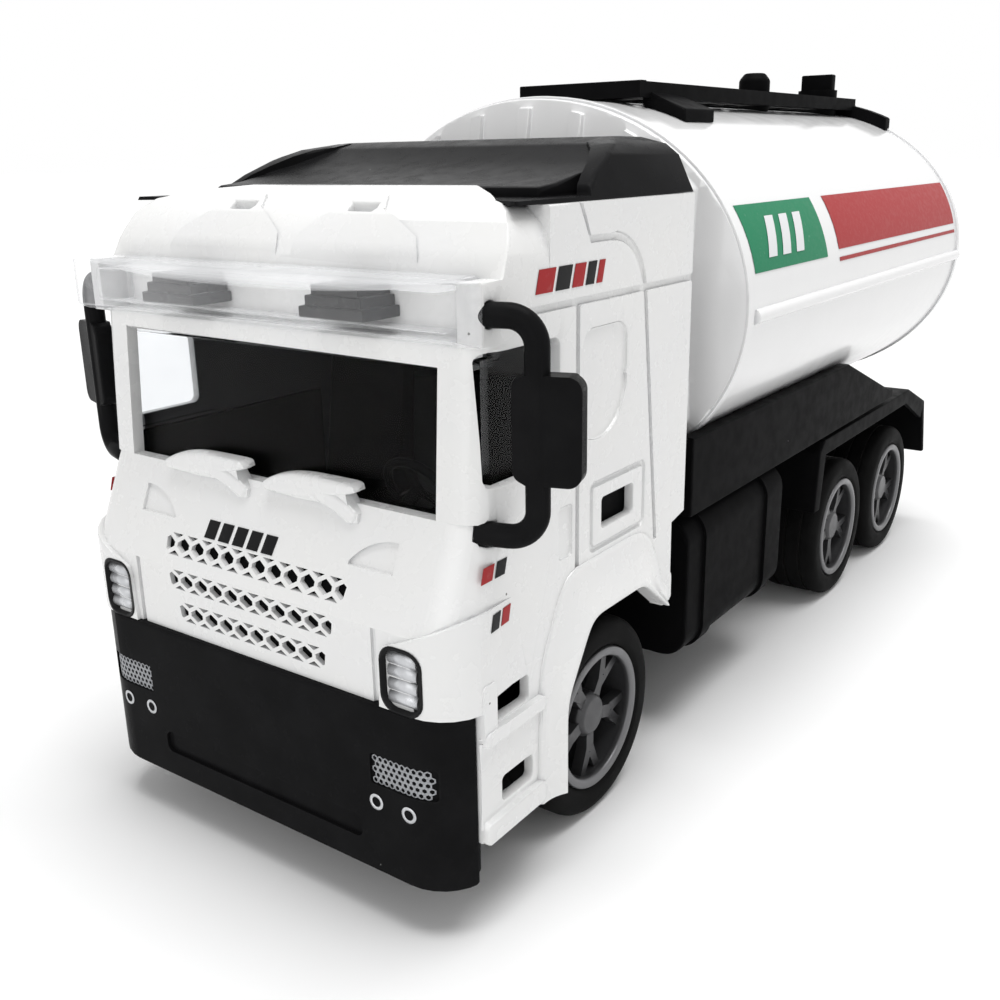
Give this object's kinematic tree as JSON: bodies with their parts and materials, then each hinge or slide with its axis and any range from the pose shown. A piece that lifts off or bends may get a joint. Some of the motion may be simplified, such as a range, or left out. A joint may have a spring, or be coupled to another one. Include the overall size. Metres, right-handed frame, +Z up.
{
  "type": "toy tanker truck",
  "caption": "Toy tanker truck with a flat-nosed white cab, an oval tank with a catwalk on top, black running gear and axles that roll freely.",
  "frame": {"origin": "on the ground under the middle of the truck's box", "axes": "+X towards the bumper, +Y towards the truck's own left side, +Z up"},
  "size_m": [0.146, 0.065, 0.0801],
  "materials": {
    "white_paint": "gloss",
    "white_plastic": "gloss",
    "black_gloss": "gloss",
    "black_matte": "satin",
    "grey_plastic": "satin",
    "clear_dark": "clear",
    "clear_frosted": "frosted",
    "silver_rim": "satin",
    "steel": "bright",
    "tyre": "matte"
  },
  "bodies": {
    "chassis": {"cab_shell": "white_paint", "tank_barrel": "white_plastic", "tank_front_head": "white_plastic", "tank_rear_head": "white_plastic", "roof_spoiler": "black_gloss", "mirror_left": "black_gloss", "mirror_right": "black_gloss", "front_bumper": "black_gloss", "chassis_frame": "black_matte", "tank_cradle": "black_matte", "mudguard_left": "black_matte", "mudguard_right": "black_matte", "catwalk": "black_matte", "filler_cap": "black_matte", "manhole_lid": "black_matte", "fuel_tank_left": "black_matte", "fuel_tank_right": "black_matte", "cab_interior": "black_matte", "cab_glazing": "clear_dark", "sun_visor_bar": "clear_frosted", "visor_lamps": "grey_plastic", "cab_screws": "steel", "tank_screws": "steel"},
    "front_wheels": {"front_axle": "steel", "front_left_rim": "silver_rim", "front_right_rim": "silver_rim", "front_left_tyre": "tyre", "front_right_tyre": "tyre"},
    "middle_wheels": {"middle_axle": "steel", "middle_left_rim": "silver_rim", "middle_right_rim": "silver_rim", "middle_left_tyre": "tyre", "middle_right_tyre": "tyre"},
    "rear_wheels": {"rear_axle": "steel", "rear_left_rim": "silver_rim", "rear_right_rim": "silver_rim", "rear_left_tyre": "tyre", "rear_right_tyre": "tyre"}
  },
  "joints": [
    {"name": "front_roll", "type": "hinge", "parent": "chassis", "child": "front_wheels", "pos_m": [0.0458, 0, 0.0109], "axis": [0, 1, 0], "continuous": true},
    {"name": "middle_roll", "type": "hinge", "parent": "chassis", "child": "middle_wheels", "pos_m": [-0.0283, 0, 0.0109], "axis": [0, 1, 0], "continuous": true},
    {"name": "rear_roll", "type": "hinge", "parent": "chassis", "child": "rear_wheels", "pos_m": [-0.0532, 0, 0.0109], "axis": [0, 1, 0], "continuous": true}
  ]
}
